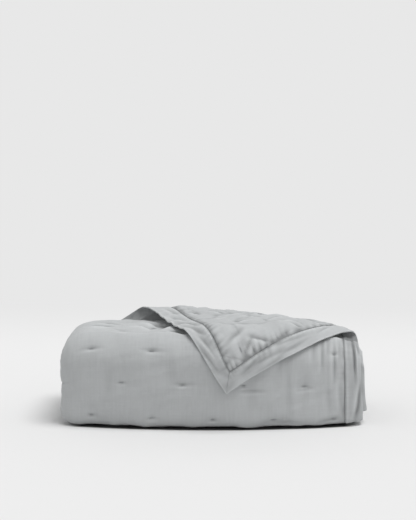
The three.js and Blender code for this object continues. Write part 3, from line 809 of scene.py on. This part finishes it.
def addStrip(seam, values):
    # Rows of points across the strip, mitred: they spread towards both ends as they go out
    # from the seam. The outer edge wanders a little, but not near its corners.
    length, border, gap = seam["length"], cloth["border"], cloth["seamGap"]
    outs = np.linspace(gap, border, round(border / strip["across"]) + 1)
    share, away = np.meshgrid(values / length, outs, indexing="ij")
    s = (-away + gap) + (length + 2 * (away - gap)) * share
    offCorner = smooth(np.minimum(s, length - s) / strip["corner"])
    wander = strip["wander"] * softWaves(s, s * 0, strip["wanderWave"], seam["seed"] + 3)
    u, v = seam["at"](s, away + wander * smooth((away - gap) / border) * offCorner)
    half, middle, paintedShade, ridge = stripShape(away, s, u, v, seam)
    # The painted shade and painted highlight of the strip, as point attributes.
    marks = {"paintedShade": paintedShade.ravel(), "ridge": ridge.ravel()}
    made = sheetSolid(seam["name"], u, v, half + middle, half - middle, borderCloth, marks)
    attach(made, "root")
    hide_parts(seam["body"])
    return made


def addStrips():
    # Close lines along the parts that show, wide ones inside the pile.
    length, width = cloth["length"], fieldWidth
    alongLength = stops((0, floorStart, strip["step"]), (floorStart, length, strip["hiddenStep"]))
    alongWidth = stops((0, outerLeafEnd, strip["step"]), (outerLeafEnd, width, strip["hiddenStep"]))
    lines = [alongLength, (width - alongWidth)[::-1], (length - alongLength)[::-1], alongWidth]
    return [addStrip(seam, values) for seam, values in zip(seams, lines)]


strips = addStrips()
print("borders made")

# The bar tacks keep off the seams, and off the floor where the bottom of the pile lies on it.
bar = dict(
    length=8.4, width=1.4, height=0.9, around=8, stations=9, above=0.2, dip=0.5, edge=14, floor=12,
)


def tackPlaces(b):
    # Every tack of the staggered rows on the field, with its side: 1 face, -1 reverse.
    count = np.arange(-40, 40)
    row, column = np.meshgrid(count, count, indexing="ij")
    u = tack["u"] + np.abs(row % 2) * tack["pitch"] / 2 + column * tack["pitch"]
    v = seamRise - tack["rise"] + row * tack["rows"] + tack["skew"] * (tack["skewU"] - u)
    edge = b["edge"]
    keep = (u > edge) & (u < fieldWidth - edge) & (v > edge) & (v < cloth["length"] - edge)
    u, v = u[keep], v[keep]
    offFloor = (v < floorStart - b["floor"]) | (v > floorEnd + b["floor"])
    side = np.concatenate([np.ones(offFloor.sum()), -np.ones(len(u))])
    return np.concatenate([u[offFloor], u]), np.concatenate([v[offFloor], v]), side


def addBars(name, u0, v0, du, dv, middle, side, b, nodeName):
    # Short bars of thread in one mesh. Each is a flattened round profile, thinner towards the
    # ends, carried along a short line (du, dv) that dips into the cloth at both ends.
    t = np.linspace(-1, 1, b["stations"])[:, None]
    around = np.linspace(0, 2 * math.pi, b["around"], endpoint=False)
    size = np.sqrt(np.maximum(1 - t ** 4, 0.02))  # never quite to a point
    across = b["width"] / 2 * size * np.cos(around)
    up = b["height"] / 2 * size * np.sin(around) - b["dip"] * t ** 4
    line = t * b["length"] / 2 + 0 * around
    u0, v0, du, dv, middle, side = (part[:, None, None] for part in (u0, v0, du, dv, middle, side))
    u, v = u0 + du * line - dv * across, v0 + dv * line + du * across
    w = middle + side * (b["above"] + up)
    points = np.stack(placeCloth(u.ravel(), v.ravel(), w.ravel()), 1)
    rings, slots = b["stations"], b["around"]
    i, j = np.meshgrid(np.arange(rings - 1), np.arange(slots), indexing="ij")
    a, n = i * slots + j, i * slots + (j + 1) % slots
    tube = np.stack([a, a + slots, n + slots, n], -1).reshape(-1, 4)
    k = np.arange(slots // 2 - 1)
    cap = np.stack([slots - 1 - k, k, k + 1, slots - 2 - k], 1)
    quads = np.concatenate([tube, cap, cap[:, ::-1] + (rings - 1) * slots])
    turnedOver = np.where(side > 0, quads[None], quads[None, :, ::-1])
    start = np.arange(len(turnedOver))[:, None, None] * rings * slots
    uv = np.stack([u.ravel(), v.ravel()], 1) * mm
    quads = (turnedOver + start).reshape(-1, 4)
    made = addMesh(name, (points + shift) * mm, quads, uv, shadedThreadCloth, sharp=60)
    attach(made, "root")
    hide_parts(nodeName)
    print(f"{name}: {len(turnedOver)} bars")
    return made


def addTacks(b):
    # One bar on every tack, on the cloth as it is drawn in there.
    u, v, side = tackPlaces(b)
    middle = np.where(side > 0, fieldHalf(u, v, 1)[0], -fieldHalf(u, v, -1)[0])
    return addBars("bar_tacks", u, v, np.ones_like(u), np.zeros_like(u), middle, side, b,
                   "quilted_field")


stitch = dict(
    length=2.6, every=4.0, width=0.55, height=0.4, around=6, stations=5, above=0.1, dip=0.25, away=1.9,
)


def addStitches(b, seam):
    # A line of stitches on both sides of one strip, just outside its seam.
    s = np.arange(b["every"], seam["length"] - b["every"], b["every"])
    away = b["away"] + 0 * s
    u, v = seam["at"](s, away)
    half, middle, _, _ = stripShape(away, s, u, v, seam)
    u, v, half, middle = (np.tile(values, 2) for values in (u, v, half, middle))
    side = np.repeat([1.0, -1.0], len(s))
    du, dv = seam["run"]
    return addBars(seam["name"] + "_stitches", u, v, du + 0 * u, dv + 0 * u,
                   middle + side * half, side, b, seam["body"])


addTacks(bar)
for seam in seams:
    addStitches(stitch, seam)
print("sewing made")

# The floor, in metres: flat, then turning up into a wall. It has a painted shadow below the
# pile and fades into a glow further back.
floor = dict(
    flat=2.2, radius=1.4, wall=3.0, halfWidth=6.0, nearEnd=-6, color=0.765,
    # The painted shadow below the pile: its colour, sides, front edge and bow, back edge, soft edges.
    below=0.15, belowX=0.205, belowY=-0.116, belowBow=0.585, belowBack=0.112, edgeX=0.02, edgeY=0.006,
    glow=0.807, fadeFrom=0.5, fadeTo=1.3,
)


def floorSums(tree, operation, x, y, *values):
    # One step of arithmetic with sockets or numbers.
    return node(tree, "ShaderNodeMath", x, y, dict(enumerate(values)), operation=operation).outputs[0]


def floorPaint(s):
    # A pale matt floor, with a painted shadow below the pile so that no light creeps in under
    # the cloth: between two sides, a front edge bowed by x squared, and a back edge. The far
    # part glows as bright as the lit floor, as an evenly lit backdrop does.
    pale = bpy.data.materials.new("floor")
    pale.use_nodes = True
    tree = pale.node_tree
    tree.nodes.clear()
    where = node(tree, "ShaderNodeTexCoord", -1200, 200).outputs["Object"]
    x, y, _ = node(tree, "ShaderNodeSeparateXYZ", -1000, 200, {0: where}).outputs
    sideways = floorSums(tree, "ABSOLUTE", -800, 500, x)
    beside = ramp(tree, -600, 500, sideways, s["belowX"], s["belowX"] + s["edgeX"], 0, 1)
    squared = floorSums(tree, "MULTIPLY", -1000, 900, x, x)
    bowed = floorSums(tree, "MULTIPLY_ADD", -800, 900, squared, -s["belowBow"], y)
    before = ramp(tree, -600, 800, bowed, s["belowY"], s["belowY"] - s["edgeY"], 0, 1)
    behind = ramp(tree, -600, 1100, y, s["belowBack"], s["belowBack"] + s["edgeY"], 0, 1)
    outside = floorSums(tree, "MAXIMUM", -400, 900, before, behind)
    outside = floorSums(tree, "MAXIMUM", -400, 600, beside, outside)
    floorWithShadow = node(tree, "ShaderNodeMix", -200, 600, {
        "Factor": outside, "A": (s["below"],) * 3 + (1,), "B": (s["color"],) * 3 + (1,),
    }, data_type="RGBA")
    matt = node(tree, "ShaderNodeBsdfPrincipled", 0, 300, {
        "Base Color": floorWithShadow.outputs["Result"], "Roughness": 1, "Specular IOR Level": 0,
    })
    glow = node(tree, "ShaderNodeEmission", 0, -400, {"Color": (s["glow"],) * 3 + (1,)})
    fade = ramp(tree, -200, 200, y, s["fadeFrom"], s["fadeTo"], 0, 1, interpolation_type="SMOOTHSTEP")
    blend = node(tree, "ShaderNodeMixShader", 300, 100,
                 {0: fade, 1: matt.outputs[0], 2: glow.outputs[0]})
    node(tree, "ShaderNodeOutputMaterial", 500, 100, {"Surface": blend.outputs[0]})
    return pale


def addFloor(s):
    # A profile carried along x: a flat floor that turns up, by a quarter round, into a wall.
    angles = np.linspace(0, math.pi / 2, 25)
    y = np.concatenate([[s["nearEnd"], -1, 0, 1], s["flat"] + s["radius"] * np.sin(angles),
                        [s["flat"] + s["radius"]]])
    z = np.concatenate([[0, 0, 0, 0], s["radius"] * (1 - np.cos(angles)), [s["radius"] + s["wall"]]])
    x = np.array([-s["halfWidth"], s["halfWidth"]])
    points = np.stack([np.repeat(x, len(y)), np.tile(y, 2), np.tile(z, 2)], 1)
    mesh = bpy.data.meshes.new("floor")
    mesh.from_pydata(points.tolist(), [], gridQuads(2, len(y)).tolist())
    mesh.shade_smooth()
    mesh.materials.append(floorPaint(s))
    made = bpy.data.objects.new("floor", mesh)
    bpy.context.scene.collection.objects.link(made)


studio = dict(world=0.51, key=1.9, towardsKey=(0.30, -0.13, 0.95), softness=34)


def addStudio(s):
    # Even light from all round, and one wide soft lamp high on the right.
    world = bpy.data.worlds.new("studio")
    world.use_nodes = True
    world.node_tree.nodes["Background"].inputs["Color"].default_value = (1, 1, 1, 1)
    world.node_tree.nodes["Background"].inputs["Strength"].default_value = s["world"]
    bpy.context.scene.world = world
    data = bpy.data.lights.new("key", "SUN")
    data.energy = s["key"]
    data.angle = math.radians(s["softness"])
    key = bpy.data.objects.new("key", data)
    key.rotation_euler = Vector(s["towardsKey"]).to_track_quat("Z", "Y").to_euler()
    bpy.context.scene.collection.objects.link(key)


addFloor(floor)
addStudio(studio)
bpy.context.scene.view_settings.view_transform = "Standard"
print("stage set")
